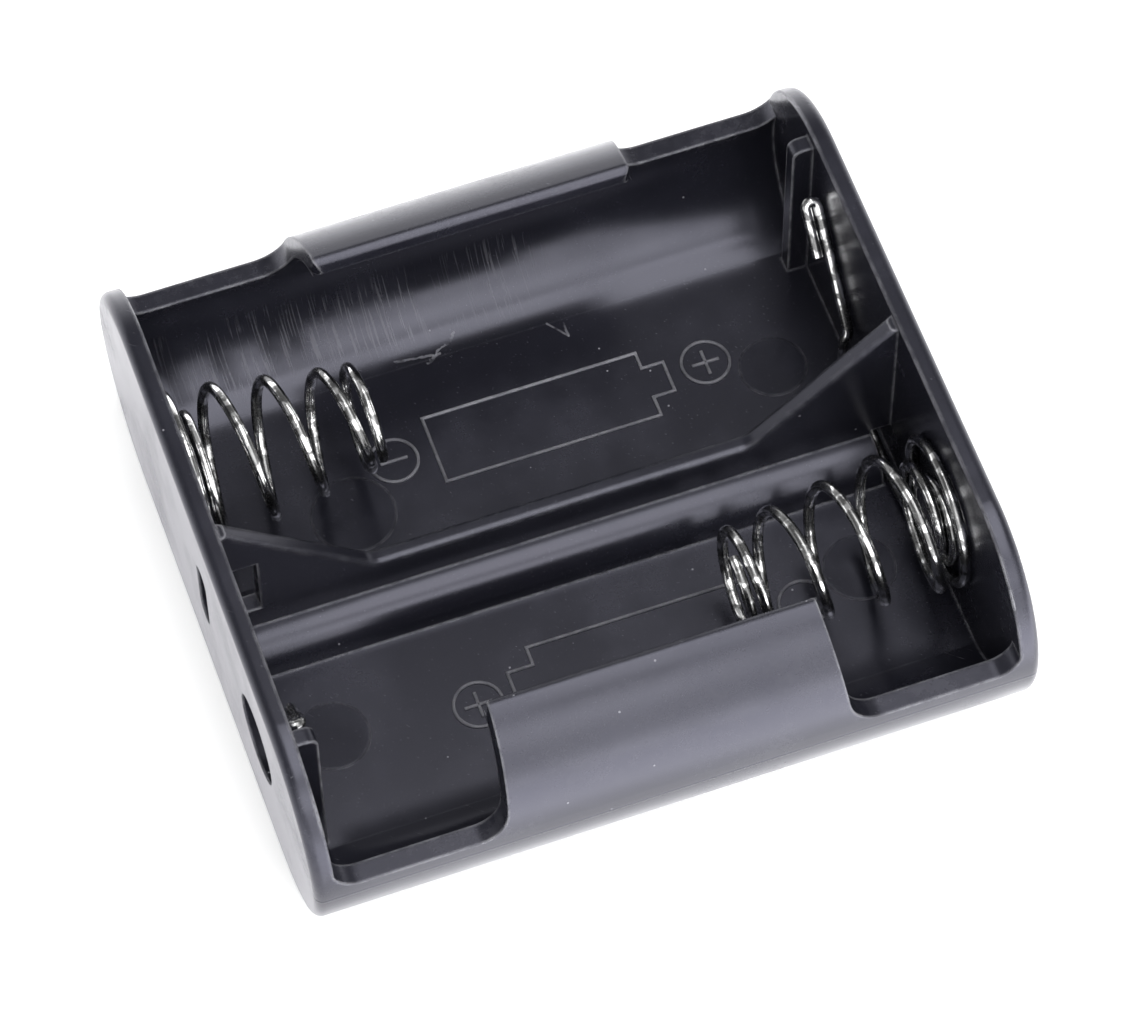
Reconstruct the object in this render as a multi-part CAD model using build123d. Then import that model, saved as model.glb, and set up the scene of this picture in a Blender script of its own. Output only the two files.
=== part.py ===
from build123d import *
import os
from math import cos, degrees, pi, radians, sin, tan

# Holder for two C-size cells, side by side and head to tail.
# X runs along the cells, Y across them, Z up. The origin is the middle of the underside.
# All sizes are in millimetres.

# Tray, outside
holder_length = 68.7
holder_width = 65.0
holder_height = 23.8
wall = 2.0
floor_thickness = 2.3
end_wall_rounding = 0.9
end_wall_inner_rounding = 0.25

# Retaining ears and the finger cut-outs beside them
ear_lip_angle = 73.0
ear_lip_rounding = 0.7
ear_half_length = 15.3
ear_flare = 1.1
ear_corner_radius = 1.5
ear_foot_radius = 3.0
cutout_rim_height = 13.2
cutout_end_radius = 2.5
cutout_run_in = 0.05

# Divider between the bays
divider_thickness = 1.7
divider_height = 10.3
divider_rounding = 0.5
gusset_drop = 0.6
gusset_ledge = 0.6
gusset_angle = 43.8
gusset_blend_radius = 2.0
rail_radius = 3.6

# Ways through the divider: one low for the link at the right end, one for the leads at the left end
link_passage_length = 1.9
link_passage_headroom = 0.7
lead_passage_length = 3.05
lead_passage_bottom = 8.9
lead_passage_top = 17.0
lead_slot_width = 2.8

# Features on the end walls
bay_centre = 13.7
contact_window_diameter = 8.6
contact_window_offset = 15.7
contact_window_height = 13.0
polarity_rib_offset = 20.8
polarity_rib_thickness = 1.6
polarity_rib_depth = 2.0
polarity_rib_height = 22.4

# Formed wire
wire_diameter = 1.05
wire_clearance = 0.05
link_lift = 1.1
tail_lift = 0.6
tail_gap = 2.0
straight_angle = 0.05

# Springs: a base ring, wound in to a coil on the stud, then out to a cone of open turns and a closed turn
spring_height = 11.6
stud_coil_radius = 3.4
stud_clearance = 0.1
stud_length = 1.6
tip_radius = 4.8
base_turns = 0.75
winding_turns = 0.65
last_turns = 1.1
coil_gap = 0.1
opening_advance = 0.15
stations_per_turn = 4

# How the two springs differ: the near one is the longer, and sags toward its free end
near_base_radius = 6.8
near_stud_turns = 1.0
near_open_turns = 3.35
near_reach = 21.1
near_sag = 1.6
far_base_radius = 7.3
far_stud_turns = 0.68
far_open_turns = 3.04
far_reach = 18.8
far_sag = 0.0

# Hairpin contacts
hairpin_foot_offset = 8.4
hairpin_foot_height = 8.2
hairpin_angle = 45.0
hairpin_length = 14.2
hairpin_return = 5.8
hairpin_gap = 0.1
hairpin_foot_bend = 1.0
hairpin_foot_step = 0.6
hairpin_floor_bend = 1.2

# Sizes that follow
half_length = holder_length / 2
inner_half = half_length - wall
outer_radius = holder_height / 2
arc_centre = holder_width / 2 - outer_radius
wire_radius = wire_diameter / 2
wire_plane = inner_half - wire_clearance - wire_radius
wire_front = wire_plane - wire_diameter - hairpin_gap
link_plane = wire_plane - hairpin_foot_step
link_height = floor_thickness + link_lift
tail_height = lead_passage_bottom + tail_lift
rail_edge = divider_thickness / 2 + rail_radius
down = Vector(0, 0, -1)
toward_near_bay = Vector(0, -1, 0)


def section(x):
    """Cross-section plane at x, with its own x along Y and its own y up from mid-height."""
    return Plane(origin=(x, 0, outer_radius), x_dir=(0, 1, 0), z_dir=(1, 0, 0))


def along(profile, start, end):
    """Profile of a cross-section plane drawn out along X from start to end."""
    return extrude(section(start) * profile, end - start)


def half_turn(shape):
    """The same shape at the other end of the holder, in the other bay."""
    return Rot(0, 0, 180) * shape


def both_ends(shape):
    return shape + half_turn(shape)


def side_shell():
    """Floor and side walls, curled in to the ears' lips, with a cut-out at each end of each ear."""
    outside = SlotOverall(holder_width, holder_height)
    cavity = SlotOverall(holder_width - 2 * wall, holder_height - 2 * wall)
    floor = Pos(0, floor_thickness / 2 - outer_radius) * Rectangle(holder_width, floor_thickness)
    lip_y = arc_centre + holder_height * cos(radians(ear_lip_angle))
    lip_z = holder_height * sin(radians(ear_lip_angle))
    mouth = Polygon(
        (-arc_centre, 0), (arc_centre, 0), (lip_y, lip_z), (-lip_y, lip_z), align=None
    )
    profile = outside - (cavity - floor) - mouth
    lip_corners = profile.vertices().sort_by(Axis.Y)[-4:]
    profile = fillet(lip_corners, ear_lip_rounding)
    shell = along(profile, -inner_half - wall / 2, inner_half + wall / 2)
    return shell - both_ends(cutout()) - ear_corners()


def cutout():
    """Space between the ears and the right end wall, on both sides of the holder."""
    run_in = end_wall_inner_rounding + cutout_run_in
    end = inner_half + run_in
    corners = Polygon(
        (ear_half_length, holder_height),
        (ear_half_length + ear_flare, cutout_rim_height),
        (end, cutout_rim_height),
        (end, holder_height),
        align=None,
    )
    outline = fillet(corners.vertices().sort_by(Axis.X)[1], ear_foot_radius)
    low_end = outline.vertices().sort_by(Axis.X)[-2:].sort_by(Axis.Y)[0]
    outline = fillet(low_end, cutout_end_radius + run_in)
    return extrude(Plane.XZ * outline, holder_width / 2 + wall, both=True)


def ear_corners():
    """What the rounded corners take off the lips of both ears."""
    inner_radius = outer_radius - wall
    lip_y = arc_centre + inner_radius * cos(radians(ear_lip_angle))
    lip_z = outer_radius + inner_radius * sin(radians(ear_lip_angle))
    flare = ear_flare * (holder_height - lip_z) / (holder_height - cutout_rim_height)
    square = Pos(-ear_corner_radius / 2, ear_corner_radius / 2) * Rectangle(
        ear_corner_radius, ear_corner_radius
    )
    spare = square - Pos(-ear_corner_radius, ear_corner_radius) * Circle(ear_corner_radius)
    corner = extrude(Pos(ear_half_length + flare, lip_y, outer_radius) * spare, outer_radius)
    return both_ends(corner) + both_ends(mirror(corner, Plane.YZ))


def end_wall():
    """Full rounded plate at the right end, with a soft outer edge and a crisp inner one."""
    plate = along(SlotOverall(holder_width, holder_height), inner_half, half_length)
    plate = fillet(plate.faces().sort_by(Axis.X)[-1].edges(), end_wall_rounding)
    return fillet(plate.faces().sort_by(Axis.X)[0].edges(), end_wall_inner_rounding)


def divider():
    """Thin wall between the bays, low in the middle, with a gusset up to each end wall."""
    gusset_height = holder_height - gusset_drop
    gusset_end = inner_half - gusset_ledge
    gusset_start = gusset_end - (gusset_height - divider_height) / tan(radians(gusset_angle))
    end = inner_half + wall / 2
    outline = Polygon(
        (-end, floor_thickness / 2),
        (end, floor_thickness / 2),
        (end, gusset_height),
        (gusset_end, gusset_height),
        (gusset_start, divider_height),
        (-gusset_start, divider_height),
        (-gusset_end, gusset_height),
        (-end, gusset_height),
        align=None,
    )
    blends = [v for v in outline.vertices() if abs(v.Y - divider_height) < divider_rounding]
    outline = fillet(blends, gusset_blend_radius)
    panel = extrude(Plane.XZ * outline, divider_thickness / 2, both=True)
    sides = panel.faces().filter_by(Axis.Y)
    top = [e for e in sides.edges() if e.center().Z > divider_height - divider_rounding]
    top = [e for e in top if abs(e.center().X) < inner_half]
    return fillet(top, divider_rounding)


def rails():
    """Quarter-round rail along the foot of the divider in each bay."""
    base = floor_thickness - outer_radius
    round_bar = Circle(rail_radius)
    bars = Pos(divider_thickness / 2, base) * round_bar + Pos(-divider_thickness / 2, base) * round_bar
    bars += Pos(0, base) * Rectangle(divider_thickness, 2 * rail_radius)
    above = floor_thickness / 2 + rail_radius
    kept = Pos(0, base + rail_radius - above / 2) * Rectangle(4 * rail_radius, above)
    return along(bars & kept, -inner_half - wall / 2, inner_half + wall / 2)


def stud():
    """Stud on the right end wall that the near spring's first coil sits on."""
    radius = stud_coil_radius - wire_radius - stud_clearance
    spot = Pos(-bay_centre, spring_height - outer_radius)
    return along(spot * Circle(radius), inner_half - stud_length, inner_half + wall / 2)


def polarity_rib():
    """Rib beside the far bay's contact that keeps a reversed cell's flat end off it."""
    height = polarity_rib_height - floor_thickness / 2
    spot = Pos(
        polarity_rib_offset + polarity_rib_thickness / 2,
        floor_thickness / 2 + height / 2 - outer_radius,
    )
    rib = along(
        spot * Rectangle(polarity_rib_thickness, height),
        inner_half - polarity_rib_depth,
        inner_half + wall / 2,
    )
    crest = rib.faces().sort_by(Axis.Z)[-1].edges().sort_by(Axis.X)[0]
    return fillet(crest, polarity_rib_depth / 2)


def link_passage():
    """Gap under the right end of the divider, through the ends of both rails."""
    height = rail_radius + link_passage_headroom
    return Pos(inner_half - link_passage_length / 2, 0, floor_thickness + height / 2) * Box(
        link_passage_length, 2 * rail_edge + wall, height
    )


def lead_passage():
    """Opening through the left end of the divider, beside the end wall."""
    middle = (lead_passage_bottom + lead_passage_top) / 2
    return Pos(lead_passage_length / 2 - inner_half, 0, middle) * Box(
        lead_passage_length, 2 * divider_thickness, lead_passage_top - lead_passage_bottom
    )


def contact_window():
    """Round window through the left end wall, behind the near bay's contact."""
    spot = Pos(-contact_window_offset, contact_window_height - outer_radius)
    return along(spot * Circle(contact_window_diameter / 2), -half_length - wall, wall - inner_half)


def lead_slot():
    """Upright slot through the left end wall, level with the leads' passage."""
    height = lead_passage_top - lead_passage_bottom
    spot = Pos(0, (lead_passage_bottom + lead_passage_top) / 2 - outer_radius)
    slot = spot * Rot(0, 0, 90) * SlotOverall(height, lead_slot_width)
    return along(slot, -half_length - wall, -inner_half)


def tray():
    body = side_shell() + both_ends(end_wall()) + divider() + rails()
    body += both_ends(stud()) + both_ends(polarity_rib())
    return body - link_passage() - lead_passage() - contact_window() - lead_slot()


def hairpin_stations():
    """Places and directions along the right end's hairpin, from its free end to its foot."""
    bend = (wire_plane - wire_front) / 2
    top = hairpin_length - wire_radius - bend
    free = hairpin_length - hairpin_return
    up_leg = Vector(0, cos(radians(hairpin_angle)), sin(radians(hairpin_angle)))

    def on_leg(x, distance):
        return Vector(x, hairpin_foot_offset, hairpin_foot_height) + up_leg * distance

    return [
        (on_leg(wire_front, free), up_leg),
        (on_leg(wire_front, top), up_leg),
        (on_leg(wire_plane - bend, top + bend), Vector(1, 0, 0)),
        (on_leg(wire_plane, top), -up_leg),
        (on_leg(wire_plane, hairpin_foot_bend), -up_leg),
    ]


def link_stations():
    """Places and directions from the right end's hairpin down to the floor and under the divider."""
    return [
        (Vector(link_plane, hairpin_foot_offset, hairpin_foot_height - hairpin_foot_bend), down),
        (Vector(link_plane, hairpin_foot_offset, link_height + hairpin_floor_bend), down),
        (Vector(link_plane, hairpin_foot_offset - hairpin_floor_bend, link_height), toward_near_bay),
        (Vector(link_plane, -rail_edge, link_height), toward_near_bay),
    ]


def spring_stations(base_radius, stud_turns, open_turns, reach, sag):
    """Places and directions along a spring at the right end, from its base ring to its free end."""
    wound = wire_diameter + coil_gap
    last_advance = reach - wire_diameter
    stages = (
        (base_turns, base_radius, 0.0),
        (winding_turns, stud_coil_radius, 0.0),
        (stud_turns, stud_coil_radius, wound),
        (winding_turns, base_radius, wound + opening_advance),
        (open_turns, tip_radius, last_advance - wound * last_turns),
        (last_turns, tip_radius, last_advance),
    )

    def place(turned):
        """Centre of the wire after that many turns."""
        angle = -pi / 2 - 2 * pi * turned
        radius = base_radius
        advance = 0.0
        for turns, end_radius, end_advance in stages:
            part = min(turned / turns, 1)
            radius += (end_radius - radius) * part
            advance += (end_advance - advance) * part
            turned -= turns * part
            if turned <= 0:
                break
        axis_height = spring_height - sag * advance / reach
        y = -bay_centre + radius * cos(angle)
        return Vector(wire_plane - advance, y, axis_height + radius * sin(angle))

    steps = round(sum(turns for turns, _, _ in stages) * stations_per_turn)
    stations = [(place(0), toward_near_bay)]
    for n in range(1, steps + 1):
        before = place((n - 0.5) / stations_per_turn)
        after = place((n + 0.5) / stations_per_turn)
        stations.append((place(n / stations_per_turn), (after - before).normalized()))
    return stations


def ring(place, direction):
    """Outline of the wire's section."""
    return Wire(Edge.make_circle(wire_radius, Plane(origin=place, z_dir=direction)))


def span(start, end, direction):
    """Surface of the wire from start to end: straight if the end lies ahead, and else one bend."""
    if (end - start).get_angle(direction) < straight_angle:
        return Shell.extrude(ring(start, direction), end - start)
    arc = TangentArc(start, end, tangent=direction)
    turn = degrees(arc.length / arc.radius)
    return Shell.revolve(ring(start, direction), turn, Axis(arc.arc_center, arc.normal()))


def formed_wire(stations):
    """Round wire, bent along two tangent arcs from each station to the next."""
    faces = [Face(ring(*stations[0])), Face(ring(*stations[-1]))]
    for (start, leaving), (end, arriving) in zip(stations, stations[1:]):
        chord = end - start
        turning = 2 * (1 - leaving.dot(arriving))
        along_chord = 2 * chord.dot(leaving + arriving)
        reach = chord.dot(chord)
        arm = 2 * reach / (along_chord + (along_chord**2 + 4 * turning * reach) ** 0.5)
        knee = start + leaving * arm
        other_knee = end - arriving * arm
        middle = (knee + other_knee) / 2
        faces += span(start, middle, leaving).faces()
        faces += span(middle, end, (other_knee - knee).normalized()).faces()
    return Solid(Shell(faces))


near_spring = spring_stations(near_base_radius, near_stud_turns, near_open_turns, near_reach, near_sag)
far_spring = spring_stations(far_base_radius, far_stud_turns, far_open_turns, far_reach, far_sag)
spring_tail = [(Vector(wire_plane, -tail_gap, tail_height), (toward_near_bay + down).normalized())]
hairpin_tail = [(Vector(wire_plane, tail_gap, tail_height), toward_near_bay)]
series_route = hairpin_stations() + link_stations() + near_spring

os.makedirs("parts", exist_ok=True)
export_step(tray(), "parts/tray.step")
export_step(half_turn(formed_wire(spring_tail + far_spring)), "parts/negative_spring.step")
export_step(half_turn(formed_wire(hairpin_stations() + hairpin_tail)), "parts/positive_contact.step")
export_step(formed_wire(series_route), "parts/series_link.step")
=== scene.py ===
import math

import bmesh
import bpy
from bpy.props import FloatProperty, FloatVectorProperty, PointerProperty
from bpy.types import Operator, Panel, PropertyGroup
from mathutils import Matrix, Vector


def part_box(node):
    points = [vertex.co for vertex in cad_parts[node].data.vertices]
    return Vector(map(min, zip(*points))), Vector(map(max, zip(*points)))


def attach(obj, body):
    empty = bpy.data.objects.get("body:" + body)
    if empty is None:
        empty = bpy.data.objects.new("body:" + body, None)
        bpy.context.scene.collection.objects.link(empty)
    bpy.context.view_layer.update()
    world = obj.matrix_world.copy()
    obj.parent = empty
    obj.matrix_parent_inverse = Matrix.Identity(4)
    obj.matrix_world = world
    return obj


bl_info = {
    "name": "Two-cell holder finish",
    "version": (1, 0, 0),
    "blender": (4, 5, 0),
    "location": "3D View > Sidebar > Cell holder",
    "description": "Dresses a two-cell holder with its moulded marks, plastic, wire and studio",
    "category": "Object",
}

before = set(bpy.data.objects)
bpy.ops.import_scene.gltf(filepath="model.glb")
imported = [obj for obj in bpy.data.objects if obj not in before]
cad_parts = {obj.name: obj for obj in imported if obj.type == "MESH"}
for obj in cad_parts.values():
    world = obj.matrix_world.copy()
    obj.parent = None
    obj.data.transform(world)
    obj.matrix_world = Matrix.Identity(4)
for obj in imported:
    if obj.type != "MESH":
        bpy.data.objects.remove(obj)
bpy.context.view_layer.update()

MM = 0.001
BODY = "root"
TRAY = "tray"
WIRES = ("negative_spring", "positive_contact", "series_link")
TRAY_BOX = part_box(TRAY)
TRAY_TOP = TRAY_BOX[1][2]
SEAM_HEIGHT = 0.49 * TRAY_TOP
WALL = 2.0 * MM
FLOOR_LEVEL = 2.3 * MM
SIDE_RADIUS = TRAY_TOP / 2 - WALL
SIDE_AXIS = TRAY_BOX[1][1] - TRAY_TOP / 2
FLOOR_EDGE = SIDE_AXIS + math.sqrt(SIDE_RADIUS**2 - (TRAY_TOP / 2 - FLOOR_LEVEL) ** 2)
PLASTIC_IOR = 1.53
SENSOR_WIDTH = 36.0
STAGE_SIZE = 3.0
RING_SEGMENTS = 64
PIN_SEGMENTS = 72

# The plan tables below are in millimetres.
# Start and end of each score on the far bay's floor.
FLOOR_SCORES = (
    ((-8.3, 23.7), (-3.8, 23.1)),
    ((-5.4, 22.6), (-1.9, 24.6)),
    ((6.7, 23.0), (8.3, 20.9)),
    ((8.1, 23.0), (8.3, 20.9)),
)
# Body and nub are each low x, high x, low y, high y. Plus and minus are the signs' centres.
CELL_MARKS = {
    "far": {
        "body": (-8.1, 13.6, 9.6, 17.15),
        "nub": (13.3, 15.75, 11.7, 15.35),
        "plus": (19.4, 13.8),
        "minus": (-11.9, 13.55),
    },
    "near": {
        "body": (-7.0, 14.5, -17.2, -9.4),
        "nub": (-9.5, -6.7, -15.3, -11.3),
        "plus": (-12.9, -13.66),
        "minus": (18.9, -13.75),
    },
}
# Centre and radius of each ejector pin's face.
PIN_MARKS = (
    (-26.5, -12.2, 3.55),
    (25.25, 11.2, 3.3),
    (-17.3, 9.3, 4.1),
    (25.1, -12.0, 3.5),
)


class PlasticSettings(PropertyGroup):
    """Black moulded plastic of the tray."""

    colour: FloatVectorProperty(
        name="Colour",
        description="Colour of the moulded plastic",
        subtype="COLOR",
        size=3,
        min=0.0,
        max=1.0,
        default=(0.0085, 0.0086, 0.0125),
    )
    # Paler colour of scuffed edges, scratches and dust; along edges it also stands for a painted
    # highlight.
    scuff_highlight_colour: FloatVectorProperty(
        name="Scuffed edge and highlight",
        description="Colour of rubbed edges, scratches and dust",
        subtype="COLOR",
        size=3,
        min=0.0,
        max=1.0,
        default=(0.22, 0.22, 0.24),
    )
    # Thin pale line of painted highlight along sharp outer edges, partly scuffing.
    edge_line_highlight_colour: FloatVectorProperty(
        name="Highlit edge line",
        description="Colour of the thin pale line along a sharp edge",
        subtype="COLOR",
        size=3,
        min=0.0,
        max=1.0,
        default=(0.34, 0.34, 0.36),
    )
    roughness: FloatProperty(
        name="Roughness",
        description="Roughness of the clean plastic",
        min=0.0,
        max=1.0,
        default=0.2,
    )
    edge_radius: FloatProperty(
        name="Edge radius",
        description="Softening of the mould's sharp edges",
        subtype="DISTANCE",
        unit="LENGTH",
        default=0.4 * MM,
    )
    blend_radius: FloatProperty(
        name="Blend radius",
        description="Softening of the line where a bay's floor meets its curved side",
        subtype="DISTANCE",
        unit="LENGTH",
        default=3.2 * MM,
    )


class WireSettings(PropertyGroup):
    """Bright plated spring wire."""

    colour: FloatVectorProperty(
        name="Colour",
        description="Colour of the plating",
        subtype="COLOR",
        size=3,
        min=0.0,
        max=1.0,
        default=(0.92, 0.92, 0.92),
    )
    roughness: FloatProperty(
        name="Roughness",
        description="Roughness of the clean plating",
        min=0.0,
        max=1.0,
        default=0.12,
    )


class MarkSettings(PropertyGroup):
    """Raised lines moulded on the floor of each bay."""

    line_width: FloatProperty(
        name="Line width",
        description="Width of a raised line",
        subtype="DISTANCE",
        unit="LENGTH",
        default=0.3 * MM,
    )
    line_height: FloatProperty(
        name="Line height",
        description="Height of a raised line above the floor",
        subtype="DISTANCE",
        unit="LENGTH",
        default=0.2 * MM,
    )
    sign_radius: FloatProperty(
        name="Sign radius",
        description="Outer radius of the circle around a polarity sign",
        subtype="DISTANCE",
        unit="LENGTH",
        default=2.45 * MM,
    )
    bar_length: FloatProperty(
        name="Bar length",
        description="Length of a bar of a polarity sign",
        subtype="DISTANCE",
        unit="LENGTH",
        default=2.7 * MM,
    )
    pin_height: FloatProperty(
        name="Pin mark height",
        description="Height that an ejector pin's smooth face stands above the floor",
        subtype="DISTANCE",
        unit="LENGTH",
        default=0.05 * MM,
    )


class StageSettings(PropertyGroup):
    """Studio around the holder."""

    azimuth: FloatProperty(
        name="Azimuth",
        description="Turn of the camera around the holder",
        subtype="ANGLE",
        unit="ROTATION",
        default=math.radians(-18.848),
    )
    elevation: FloatProperty(
        name="Elevation",
        description="Height of the camera above the floor",
        subtype="ANGLE",
        unit="ROTATION",
        default=math.radians(60.005),
    )
    roll: FloatProperty(
        name="Roll",
        description="Roll of the camera about its own axis",
        subtype="ANGLE",
        unit="ROTATION",
        default=math.radians(-0.8335),
    )
    distance: FloatProperty(
        name="Distance",
        description="Distance from the camera to the point that it looks at",
        subtype="DISTANCE",
        unit="LENGTH",
        default=525.06 * MM,
    )
    target: FloatVectorProperty(
        name="Target",
        description="Point that the camera looks at",
        subtype="TRANSLATION",
        unit="LENGTH",
        size=3,
        default=(1.76 * MM, 3.14 * MM, 2.04 * MM),
    )
    lens: FloatProperty(
        name="Lens",
        description="Focal length in millimetres for a sensor 36 mm wide",
        default=177.83,
    )
    floor_colour: FloatVectorProperty(
        name="Floor",
        description="Colour of the pale floor",
        subtype="COLOR",
        size=3,
        min=0.0,
        max=1.0,
        default=(0.9, 0.9, 0.9),
    )
    lamp_place: FloatVectorProperty(
        name="Lamp place",
        description="Centre of the overhead lamp, which is turned to the holder",
        subtype="TRANSLATION",
        unit="LENGTH",
        size=3,
        default=(100 * MM, -20 * MM, 600 * MM),
    )
    lamp_size: FloatVectorProperty(
        name="Lamp size",
        description="Length and width of the overhead lamp",
        unit="LENGTH",
        size=2,
        default=(500 * MM, 340 * MM),
    )
    lamp_power: FloatProperty(
        name="Lamp power",
        description="Power of the overhead lamp in watts",
        default=2.4,
    )


class Value:
    """A socket of a node tree. Arithmetic on it adds Math nodes."""

    def __init__(self, graph, socket):
        self.graph = graph
        self.socket = socket

    def combine(self, operation, first, second):
        inputs = {0: first, 1: second}
        return self.graph.node("ShaderNodeMath", {"operation": operation}, inputs)["Value"]

    def __add__(self, other):
        return self.combine("ADD", self, other)

    def __radd__(self, other):
        return self.combine("ADD", other, self)

    def __sub__(self, other):
        return self.combine("SUBTRACT", self, other)

    def __rsub__(self, other):
        return self.combine("SUBTRACT", other, self)

    def __mul__(self, other):
        return self.combine("MULTIPLY", self, other)

    def __rmul__(self, other):
        return self.combine("MULTIPLY", other, self)

    def __truediv__(self, other):
        return self.combine("DIVIDE", self, other)

    def __rtruediv__(self, other):
        return self.combine("DIVIDE", other, self)

    def __pow__(self, other):
        return self.combine("POWER", self, other)

    def __rpow__(self, other):
        return self.combine("POWER", other, self)

    def __lt__(self, other):
        return self.combine("LESS_THAN", self, other)

    def __gt__(self, other):
        return self.combine("GREATER_THAN", self, other)

    def __abs__(self):
        return self.combine("ABSOLUTE", self, 0.0)


class Made:
    """A node that was made, with its outputs by name or place."""

    def __init__(self, graph, node):
        self.graph = graph
        self.node = node

    def __getitem__(self, output):
        return Value(self.graph, self.node.outputs[output])


class Graph:
    """Node tree of a material or a world, built from nothing."""

    def __init__(self, owner):
        owner.use_nodes = True
        self.tree = owner.node_tree
        self.tree.nodes.clear()

    def node(self, kind, settings=None, inputs=None):
        """Adds a node. Settings come first, then the values or links of its sockets."""
        made = self.tree.nodes.new(kind)
        for name, setting in (settings or {}).items():
            setattr(made, name, setting)
        for name, given in (inputs or {}).items():
            if isinstance(given, Value):
                self.tree.links.new(given.socket, made.inputs[name])
            else:
                made.inputs[name].default_value = given
        return Made(self, made)

    def noise(self, place, size, detail=2.0, roughness=0.5):
        """Noise with features of about the given size."""
        inputs = {"Vector": place, "Scale": 1 / size, "Detail": detail, "Roughness": roughness}
        return self.node("ShaderNodeTexNoise", None, inputs)["Fac"]

    def step(self, value, low, high):
        """Rises smoothly from 0 at low to 1 at high."""
        settings = {"interpolation_type": "SMOOTHSTEP"}
        inputs = {"Value": value, "From Min": low, "From Max": high}
        return self.node("ShaderNodeMapRange", settings, inputs)["Result"]

    def clamp(self, value):
        """Holds a value between 0 and 1."""
        return self.node("ShaderNodeClamp", None, {"Value": value})["Result"]

    def axes(self, vector):
        """The three parts of a place or a direction."""
        parts = self.node("ShaderNodeSeparateXYZ", None, {"Vector": vector})
        return parts["X"], parts["Y"], parts["Z"]

    def mix(self, factor, first, second):
        """Blend of two colours."""
        inputs = {0: factor, 6: first, 7: second}
        return self.node("ShaderNodeMix", {"data_type": "RGBA"}, inputs)[2]

    def blend(self, factor, first, second):
        """Blend of two directions."""
        inputs = {0: factor, 4: first, 5: second}
        return self.node("ShaderNodeMix", {"data_type": "VECTOR"}, inputs)[1]

    def stretched(self, place, turn, scale):
        """Place turned and stretched, for a pattern with a direction."""
        inputs = {"Vector": place, "Rotation": turn, "Scale": scale}
        return self.node("ShaderNodeMapping", {"vector_type": "TEXTURE"}, inputs)["Vector"]


def opaque(colour, strength=1.0):
    """Colour for a node's socket, made lighter or darker by the strength."""
    return (*(channel * strength for channel in colour), 1.0)


def scratches(graph, place, turn, stretch, density):
    """Mask of fine streaks that run along the turned axes with the largest stretch."""
    streak = graph.noise(graph.stretched(place, turn, stretch), 1.0, 1.0)
    return graph.step(streak, 0.76 - density, 0.84 - density)


def scores(graph, x, y, strokes, width):
    """Mask of straight scores, each from one point of the plan to another, in millimetres."""
    masks = []
    for (x0, y0), (x1, y1) in strokes:
        run = (x1 - x0) * MM
        rise = (y1 - y0) * MM
        from_x = x - x0 * MM
        from_y = y - y0 * MM
        along = graph.clamp((from_x * run + from_y * rise) / (run * run + rise * rise))
        off_x = from_x - along * run
        off_y = from_y - along * rise
        masks.append(graph.step(off_x * off_x + off_y * off_y, width**2, 0.1 * width**2))
    return sum(masks)


def blended_floor(graph, y, radius):
    """Normal of a bay's floor that runs softly into the curved side."""
    across = abs(y)
    curved = graph.step(across, FLOOR_EDGE - radius, FLOOR_EDGE + radius)
    lean = (across - SIDE_AXIS) / SIDE_RADIUS * curved
    upward = (1.0 - lean * lean) ** 0.5
    inward = lean * (0.0 - y) / across
    parts = {"X": 0.0, "Y": inward, "Z": upward}
    return graph.node("ShaderNodeCombineXYZ", None, parts)["Vector"]


def soft_normal(graph, place, rounded, true_normal, radius):
    """Rounded normal, with the blended floor near the foot of each bay's curved side."""
    x, y, z = graph.axes(place)
    rising = graph.axes(true_normal)[2]
    low = graph.step(z, 6.0 * MM, 3.6 * MM)
    between_ends = graph.step(abs(x), 30 * MM, 27 * MM)
    beside_middle = graph.step(abs(y), 16 * MM, 18 * MM)
    crease = low * between_ends * beside_middle * graph.step(rising, 0.3, 0.5)
    return graph.blend(crease, rounded, blended_floor(graph, y, radius))


def edge_scuffs_and_highlights(graph, rounded, true_normal, patchy):
    """Masks of the band and the thin line along outer edges, paled by scuffing and by a painted
    highlight.
    """
    dot = {"operation": "DOT_PRODUCT"}
    facing = graph.node("ShaderNodeVectorMath", dot, {0: rounded, 1: true_normal})["Value"]
    turned = 1.0 - facing
    near_only = {"samples": 1, "only_local": True}
    reach = {"Distance": 1.2 * MM}
    open_air = graph.node("ShaderNodeAmbientOcclusion", near_only, reach)["AO"]
    outer = graph.step(open_air, 0.7, 0.95)
    # Only convex edges in open air get the scuffing and painted highlight.
    scuffed_highlit = graph.step(turned, 0.015, 0.16) * outer
    scuffed_highlit_line = graph.step(turned, 0.03, 0.12) * outer
    scuffed_highlit = scuffed_highlit * (0.35 + 0.65 * graph.step(patchy, 0.4, 0.62))
    scuffed_highlit_line = scuffed_highlit_line * (0.3 + 0.7 * graph.step(patchy, 0.4, 0.6))
    return scuffed_highlit, scuffed_highlit_line


def handling_scratches(graph, place, patchy):
    """Mask of the upright scratches on the far wall, stray ones, and scores on the floor."""
    x, y, z = graph.axes(place)
    far_wall = graph.step(y, 24 * MM, 26 * MM) * graph.step(z, 9.5 * MM, 7 * MM)
    left_part = graph.step(x, 10 * MM, 2 * MM)
    rubbed_area = graph.step(graph.noise(place, 9 * MM), 0.35, 0.6)
    down_the_wall = (0.2 * MM, 5 * MM, 5 * MM)
    upright = scratches(graph, place, (0.0, 0.0, 0.06), down_the_wall, 0.2)
    upright = upright * far_wall * left_part * rubbed_area
    fine_line = (0.09 * MM, 0.09 * MM, 7 * MM)
    stray = scratches(graph, place, (1.3, 0.4, 0.6), fine_line, 0.03)
    waver = (patchy - 0.5) * (1.2 * MM)
    scored = scores(graph, x + waver, y - waver, FLOOR_SCORES, 0.13 * MM)
    scored = scored * graph.step(patchy, 0.4, 0.6) * graph.step(z, 4 * MM, 3 * MM)
    return upright * 0.3 + stray * 0.3 + scored * 0.5


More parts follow.
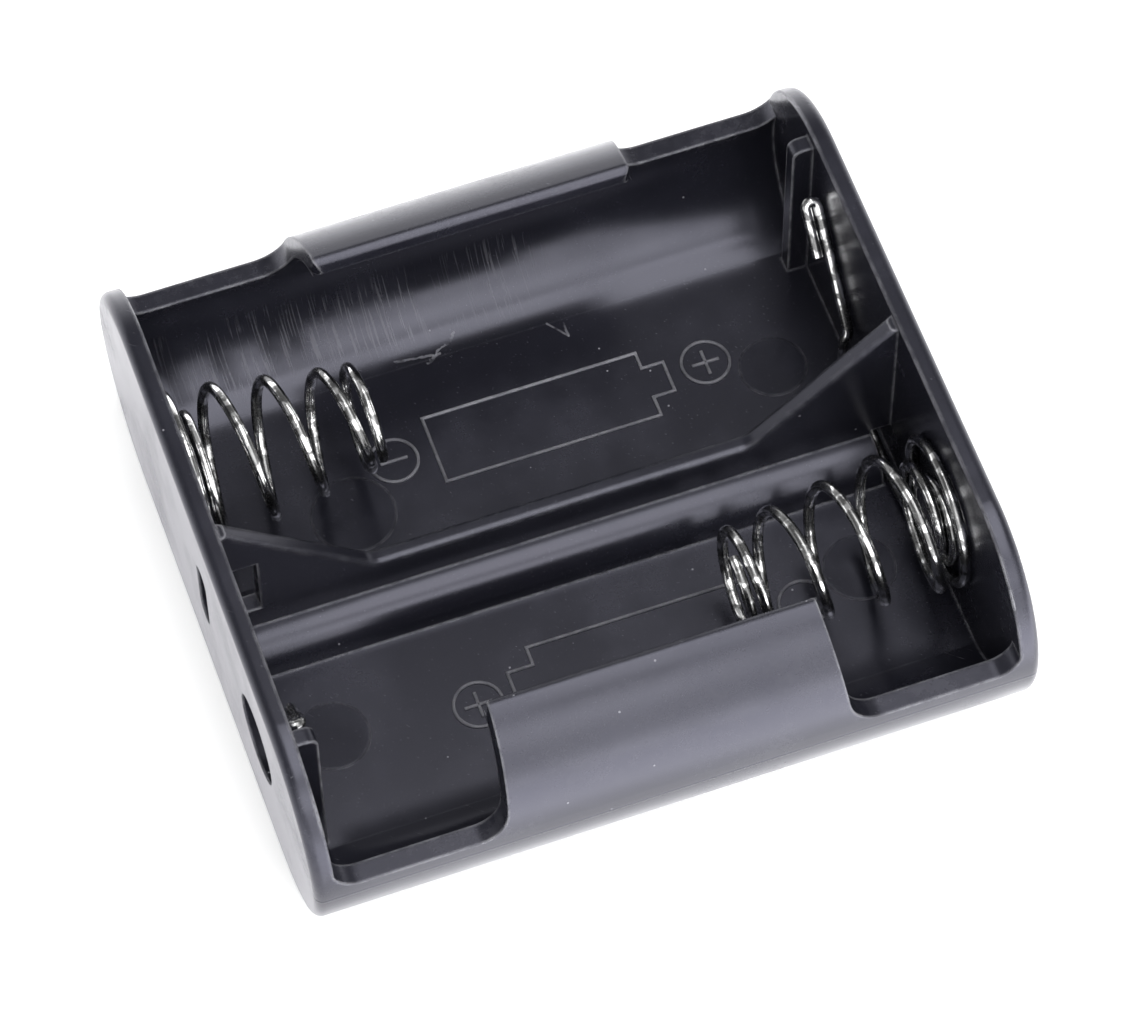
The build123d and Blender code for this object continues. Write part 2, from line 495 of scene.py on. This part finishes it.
def dust_specks(graph, place):
    """Mask of a few small round specks of dust."""
    specks = graph.node("ShaderNodeTexVoronoi", None, {"Vector": place, "Scale": 1 / (2.1 * MM)})
    chosen = graph.node("ShaderNodeSeparateColor", None, {"Color": specks["Color"]})["Red"]
    return (specks["Distance"] < 0.05) * (chosen > 0.72)


def plastic_material(name, scuff_and_highlight=0.0, polish=0.0, line_highlight_strength=1.0):
    """Glossy black moulding with scuffed edges that carry a painted highlight, fine scratches,
    dust and a parting line.
    """
    given = bpy.context.scene.holder_plastic
    material = bpy.data.materials.new(name)
    graph = Graph(material)
    place = graph.node("ShaderNodeTexCoord")["Object"]
    _, y, z = graph.axes(place)
    softened = {"Radius": given.edge_radius}
    rounded = graph.node("ShaderNodeBevel", {"samples": 3}, softened)["Normal"]
    true_normal = graph.node("ShaderNodeNewGeometry")["True Normal"]

    patchy = graph.noise(place, 1.6 * MM, 3.0)
    scuffed_highlit, scuffed_highlit_line = edge_scuffs_and_highlights(graph, rounded, true_normal, patchy)
    scratched = handling_scratches(graph, place, patchy)
    dust = dust_specks(graph, place)

    smudge = graph.step(graph.noise(place, 11 * MM, 4.0, 0.6), 0.42, 0.68)
    grain = graph.noise(place, 0.35 * MM)
    outside = graph.step(abs(y), 25 * MM, 28 * MM) * graph.step(z, 11 * MM, 14 * MM)
    cloudy = graph.noise(place, 6.0 * MM, 3.0)
    rough_spots = graph.noise(place, 0.9 * MM, 4.0, 0.6)
    scuffed = graph.step(rough_spots + cloudy, 0.85, 1.45) * outside
    seam = graph.step(abs(z - SEAM_HEIGHT), 0.2 * MM, 0.08 * MM)
    seam = seam * graph.step(abs(y), 31 * MM, 31.5 * MM)

    # Colour paled by scuffed edges with their painted highlight, a mark's painted highlight,
    # scratches and dust.
    light = graph.clamp(scuff_and_highlight + scuffed_highlit + scratched + dust * 0.8 + scuffed * 0.07)
    colour = graph.mix(smudge, opaque(given.colour), opaque(given.colour, 1.3))
    colour = graph.mix(light, colour, opaque(given.scuff_highlight_colour))
    # Thin pale line of painted highlight along sharp outer edges.
    colour = graph.mix(scuffed_highlit_line * line_highlight_strength, colour, opaque(given.edge_line_highlight_colour))
    clean = given.roughness - polish
    roughness = clean + smudge * 0.06 + grain * 0.04 + light * 0.25 + scuffed * 0.08

    bump = graph.node(
        "ShaderNodeBump",
        None,
        {
            "Strength": 0.5,
            "Distance": 0.1 * MM,
            "Height": grain * 0.05 + patchy * 0.02 + seam * 2.2 - scratched * 0.06,
            "Normal": soft_normal(graph, place, rounded, true_normal, given.blend_radius),
        },
    )
    shader = graph.node(
        "ShaderNodeBsdfPrincipled",
        None,
        {
            "Base Color": colour,
            "Roughness": roughness,
            "IOR": PLASTIC_IOR,
            "Specular Tint": opaque((0.84, 0.84, 1.0)),
            "Normal": bump["Normal"],
        },
    )
    graph.node("ShaderNodeOutputMaterial", None, {"Surface": shader["BSDF"]})
    return material


def wire_material():
    """Bright plated wire with drawn lines, dull spots darkened as painted dark reflection, and
    dark flecks.
    """
    given = bpy.context.scene.holder_wire
    material = bpy.data.materials.new("bright_wire")
    graph = Graph(material)
    place = graph.node("ShaderNodeTexCoord")["Object"]
    dull_dark_reflection_patches = graph.step(graph.noise(place, 1.3 * MM), 0.42, 0.54)
    flecks = graph.step(graph.noise(place, 0.25 * MM, 3.0, 0.7), 0.6, 0.72)
    fine_lines = (0.08 * MM, 0.6 * MM, 0.6 * MM)
    drawn = graph.noise(graph.stretched(place, (0.0, 0.0, 0.0), fine_lines), 1.0)
    # Dull spots darkened in colour: painted dark reflection that breaks up the highlights.
    colour = graph.mix(dull_dark_reflection_patches, opaque(given.colour), opaque(given.colour, 0.22))
    colour = graph.mix(flecks * 0.6, colour, opaque(given.colour, 0.2))
    roughness = given.roughness + dull_dark_reflection_patches * 0.12 + flecks * 0.1 + drawn * 0.05
    height = drawn - flecks * 0.5
    relief = {"Strength": 0.25, "Distance": 0.02 * MM, "Height": height}
    bump = graph.node("ShaderNodeBump", None, relief)
    shader = graph.node(
        "ShaderNodeBsdfPrincipled",
        None,
        {
            "Base Color": colour,
            "Metallic": 1.0,
            "Roughness": roughness,
            "Normal": bump["Normal"],
        },
    )
    graph.node("ShaderNodeOutputMaterial", None, {"Surface": shader["BSDF"]})
    return material


def finish_piece(mesh_name, bm, material):
    """Closes a bmesh into an object that rides on the tray."""
    bmesh.ops.recalc_face_normals(bm, faces=bm.faces)
    mesh = bpy.data.meshes.new(mesh_name)
    bm.to_mesh(mesh)
    bm.free()
    mesh.materials.append(material)
    piece = bpy.data.objects.new(mesh_name, mesh)
    bpy.context.scene.collection.objects.link(piece)
    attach(piece, BODY)
    return piece


def floor_height(x, y):
    """Height of the tray's floor below a point of the bay."""
    above = Vector((x, y, TRAY_TOP + MM))
    hit, spot, _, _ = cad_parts[TRAY].ray_cast(above, Vector((0, 0, -1)))
    if not hit:
        raise RuntimeError("there is no floor under a mark")
    return spot.z


def faces_of(made):
    """Faces of a shape that a bmesh operator has just made."""
    return list({face for vert in made["verts"] for face in vert.link_faces})


def raise_band(bm, outer, inner, height):
    """Turns two loops of edges into a raised line between them."""
    made = bmesh.ops.bridge_loops(bm, edges=outer + inner)
    raise_faces(bm, made["faces"], height)


def raise_faces(bm, faces, height):
    """Extrudes flat faces upward and softens the top edges."""
    extruded = bmesh.ops.extrude_face_region(bm, geom=faces, use_keep_orig=True)
    top = [v for v in extruded["geom"] if isinstance(v, bmesh.types.BMVert)]
    bmesh.ops.translate(bm, verts=top, vec=(0, 0, height))
    edges = [e for e in extruded["geom"] if isinstance(e, bmesh.types.BMEdge)]
    rim = [e for e in edges if len(e.link_faces) == 2 and e.calc_face_angle(0.0) > 1.0]
    bmesh.ops.bevel(
        bm, geom=rim, offset=height * 0.4, affect="EDGES", segments=2, profile=0.5, material=-1
    )


def add_ring(bm, x, y, z, radius, width, height):
    """Raised circle on the floor."""
    place = Matrix.Translation((x, y, z))
    loops = []
    for size in (radius, radius - width):
        made = bmesh.ops.create_circle(bm, segments=RING_SEGMENTS, radius=size, matrix=place)
        loops.append(list({edge for vert in made["verts"] for edge in vert.link_edges}))
    raise_band(bm, *loops, height)


def add_bar(bm, x, y, z, along_x, along_y, height):
    """Raised bar of a sign."""
    place = Matrix.Translation((x, y, z)) @ Matrix.Diagonal((along_x, along_y, 1.0, 1.0))
    made = bmesh.ops.create_grid(bm, x_segments=1, y_segments=1, size=0.5, matrix=place)
    raise_faces(bm, faces_of(made), height)


def add_loop(bm, corners, z):
    """Closed loop of edges through the corners."""
    verts = [bm.verts.new((x, y, z)) for x, y in corners]
    return [bm.edges.new(pair) for pair in zip(verts, verts[1:] + verts[:1])]


def add_cell(bm, body, nub, z, width, height):
    """Outline of a cell with its nub. Body and nub are each low x, high x, low y, high y."""
    loops = []
    for inset in (0.0, width):
        x0, x1 = body[0] + inset, body[1] - inset
        y0, y1 = body[2] + inset, body[3] - inset
        low, high = nub[2] + inset, nub[3] - inset
        if nub[1] > body[1]:
            tip = nub[1] - inset
            end = ((x1, low), (tip, low), (tip, high), (x1, high))
            corners = ((x0, y0), (x1, y0), *end, (x1, y1), (x0, y1))
        else:
            tip = nub[0] + inset
            end = ((x0, high), (tip, high), (tip, low), (x0, low))
            corners = ((x1, y1), (x0, y1), *end, (x0, y0), (x1, y0))
        loops.append(add_loop(bm, corners, z))
    raise_band(bm, *loops, height)


class HOLDER_OT_floor_marks(Operator):
    """Moulds the cell outlines and polarity signs on the floor of each bay"""

    bl_idname = "holder.floor_marks"
    bl_label = "Floor marks"

    def execute(self, context):
        given = context.scene.holder_marks
        line = given.line_width
        height = given.line_height
        # Raised lines are paler all over, partly scuffing and partly a painted highlight, with a
        # faint painted highlight line on their edges.
        mark_plastic = plastic_material("scuffed_highlit_marks", scuff_and_highlight=0.22, line_highlight_strength=0.4)
        for bay, marks in CELL_MARKS.items():
            body, nub, plus, minus = ([n * MM for n in mark] for mark in marks.values())
            bm = bmesh.new()
            z = floor_height(0.0, plus[1])
            add_cell(bm, body, nub, z, line, height)
            for x, y in (plus, minus):
                add_ring(bm, x, y, z, given.sign_radius, line, height)
                add_bar(bm, x, y, z, given.bar_length, line, height)
            add_bar(bm, *plus, z, line, given.bar_length, height)
            finish_piece(f"{bay}_bay_marks", bm, mark_plastic)
        return {"FINISHED"}


class HOLDER_OT_pin_marks(Operator):
    """Adds the faint round faces that ejector pins leave on the floor"""

    bl_idname = "holder.pin_marks"
    bl_label = "Ejector pin marks"

    def execute(self, context):
        given = context.scene.holder_marks
        bm = bmesh.new()
        for x, y, radius in PIN_MARKS:
            z = floor_height(0.0, y * MM)
            made = bmesh.ops.create_circle(
                bm,
                cap_ends=True,
                segments=PIN_SEGMENTS,
                radius=radius * MM,
                matrix=Matrix.Translation((x * MM, y * MM, z)),
            )
            raise_faces(bm, faces_of(made), given.pin_height)
        # Pin faces carry a faint painted highlight line along their edges.
        finish_piece("pin_marks", bm, plastic_material("pin_faces", polish=0.06, line_highlight_strength=0.15))
        return {"FINISHED"}


class HOLDER_OT_tray_finish(Operator):
    """Gives the tray its moulded black plastic"""

    bl_idname = "holder.tray_finish"
    bl_label = "Tray plastic"

    def execute(self, context):
        dress(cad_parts[TRAY], plastic_material("black_moulding"))
        return {"FINISHED"}


class HOLDER_OT_wire_finish(Operator):
    """Gives the springs and contacts their bright plating"""

    bl_idname = "holder.wire_finish"
    bl_label = "Wire plating"

    def execute(self, context):
        material = wire_material()
        for name in WIRES:
            dress(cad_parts[name], material)
        return {"FINISHED"}


def dress(node, material):
    """Puts the material in every slot of a node."""
    if not node.material_slots:
        raise RuntimeError(f"{node.name} has no material slot")
    for held in node.material_slots:
        held.material = material


def floor_material():
    """Pale lit table with a soft shadow, bright where the holder mirrors it."""
    given = bpy.context.scene.holder_stage
    material = bpy.data.materials.new("pale_floor")
    graph = Graph(material)
    seen = graph.node("ShaderNodeLightPath")
    x, y, _ = graph.axes(graph.node("ShaderNodeTexCoord")["Object"])
    # Reflected rays see the floor glow as painted light, strongest on the near side away from
    # the holder, with painted shade beside the holder's end.
    left = graph.step(x, -25 * MM, -34 * MM)
    front = graph.step(y, -37 * MM, -64 * MM)
    mirrored = seen["Is Glossy Ray"] + seen["Is Transmission Ray"]
    bright = graph.mix(front, opaque((0.95, 0.95, 1.0)), opaque((4.2, 4.2, 4.4)))
    bright = graph.mix(left, bright, opaque((0.62, 0.61, 0.66)))
    level = graph.mix(mirrored, opaque((0.35, 0.35, 0.35)), bright)
    paint = graph.node("ShaderNodeBsdfDiffuse", None, {"Color": opaque(given.floor_colour)})
    glow = graph.node("ShaderNodeEmission", None, {"Color": level})
    shader = graph.node("ShaderNodeAddShader", None, {0: paint["BSDF"], 1: glow["Emission"]})
    graph.node("ShaderNodeOutputMaterial", None, {"Surface": shader["Shader"]})
    return material


def light_world():
    """Soft room, bright on the near side, dim on the far side and white to the camera."""
    world = bpy.data.worlds.new("studio")
    bpy.context.scene.world = world
    graph = Graph(world)
    x, y, z = graph.axes(graph.node("ShaderNodeTexCoord")["Generated"])
    near_side = graph.step(y, -0.25, -0.85)
    low_down = graph.step(z, 0.62, 0.05)
    level_side = graph.step(z, 0.8, 0.5)
    window = graph.step(abs(x - 0.165), 0.1, 0.01)
    panel = near_side * (6.6 - level_side * (5.4 - window * 4.2))
    horizon = graph.step(z, 0.3, 0.02) * near_side * 2.4
    far_glow = low_down * (1.0 - near_side) * 1.5
    room = 0.3 + panel + horizon + far_glow
    seen = graph.node("ShaderNodeLightPath")["Is Camera Ray"]
    level = room * (1.0 - seen) + seen
    shader = graph.node("ShaderNodeBackground", None, {"Color": level})
    graph.node("ShaderNodeOutputWorld", None, {"Surface": shader["Background"]})


def add_lamp():
    """Soft rectangular lamp overhead, turned to the holder."""
    given = bpy.context.scene.holder_stage
    lamp = bpy.data.lights.new("overhead_lamp", "AREA")
    lamp.shape = "RECTANGLE"
    lamp.size, lamp.size_y = given.lamp_size
    lamp.energy = given.lamp_power
    stand = bpy.data.objects.new("overhead_lamp", lamp)
    stand.location = given.lamp_place
    stand.rotation_euler = (-Vector(given.lamp_place)).to_track_quat("-Z", "Y").to_euler()
    bpy.context.scene.collection.objects.link(stand)


def add_camera():
    """Camera at the photographed angle."""
    given = bpy.context.scene.holder_stage
    camera = bpy.data.cameras.new("camera")
    camera.sensor_width = SENSOR_WIDTH
    camera.lens = given.lens
    seat = bpy.data.objects.new("camera", camera)
    turn = (
        Matrix.Rotation(given.azimuth, 4, "Z")
        @ Matrix.Rotation(math.pi / 2 - given.elevation, 4, "X")
        @ Matrix.Rotation(given.roll, 4, "Z")
    )
    back = (turn @ Vector((0, 0, 1, 0))).to_3d()
    seat.matrix_world = Matrix.Translation(Vector(given.target) + back * given.distance) @ turn
    bpy.context.scene.collection.objects.link(seat)
    bpy.context.scene.camera = seat


class HOLDER_OT_stage(Operator):
    """Sets up the floor, the light and the camera"""

    bl_idname = "holder.stage"
    bl_label = "Studio"

    def execute(self, context):
        bm = bmesh.new()
        bmesh.ops.create_grid(bm, x_segments=1, y_segments=1, size=STAGE_SIZE)
        mesh = bpy.data.meshes.new("studio_floor")
        bm.to_mesh(mesh)
        bm.free()
        mesh.materials.append(floor_material())
        floor = bpy.data.objects.new("studio_floor", mesh)
        context.scene.collection.objects.link(floor)
        light_world()
        add_lamp()
        add_camera()
        context.scene.view_settings.view_transform = "Standard"
        return {"FINISHED"}


STEPS = (
    HOLDER_OT_tray_finish,
    HOLDER_OT_wire_finish,
    HOLDER_OT_floor_marks,
    HOLDER_OT_pin_marks,
    HOLDER_OT_stage,
)
SETTINGS = {
    "holder_plastic": PlasticSettings,
    "holder_wire": WireSettings,
    "holder_marks": MarkSettings,
    "holder_stage": StageSettings,
}


class HOLDER_PT_panel(Panel):
    """Lists the settings and steps of the holder"""

    bl_idname = "HOLDER_PT_panel"
    bl_label = "Cell holder"
    bl_space_type = "VIEW_3D"
    bl_region_type = "UI"
    bl_category = "Cell holder"

    def draw(self, context):
        for name, group in SETTINGS.items():
            box = self.layout.box()
            for prop in group.__annotations__:
                box.prop(getattr(context.scene, name), prop)
        for step in STEPS:
            self.layout.operator(step.bl_idname)


def register():
    for name, group in SETTINGS.items():
        bpy.utils.register_class(group)
        setattr(bpy.types.Scene, name, PointerProperty(type=group))
    for step in (*STEPS, HOLDER_PT_panel):
        bpy.utils.register_class(step)


def unregister():
    for step in (*STEPS, HOLDER_PT_panel):
        bpy.utils.unregister_class(step)
    for name, group in SETTINGS.items():
        delattr(bpy.types.Scene, name)
        bpy.utils.unregister_class(group)


def main():
    register()
    bpy.ops.holder.tray_finish()
    bpy.ops.holder.wire_finish()
    bpy.ops.holder.floor_marks()
    bpy.ops.holder.pin_marks()
    bpy.ops.holder.stage()


if __name__ == "__main__":
    main()
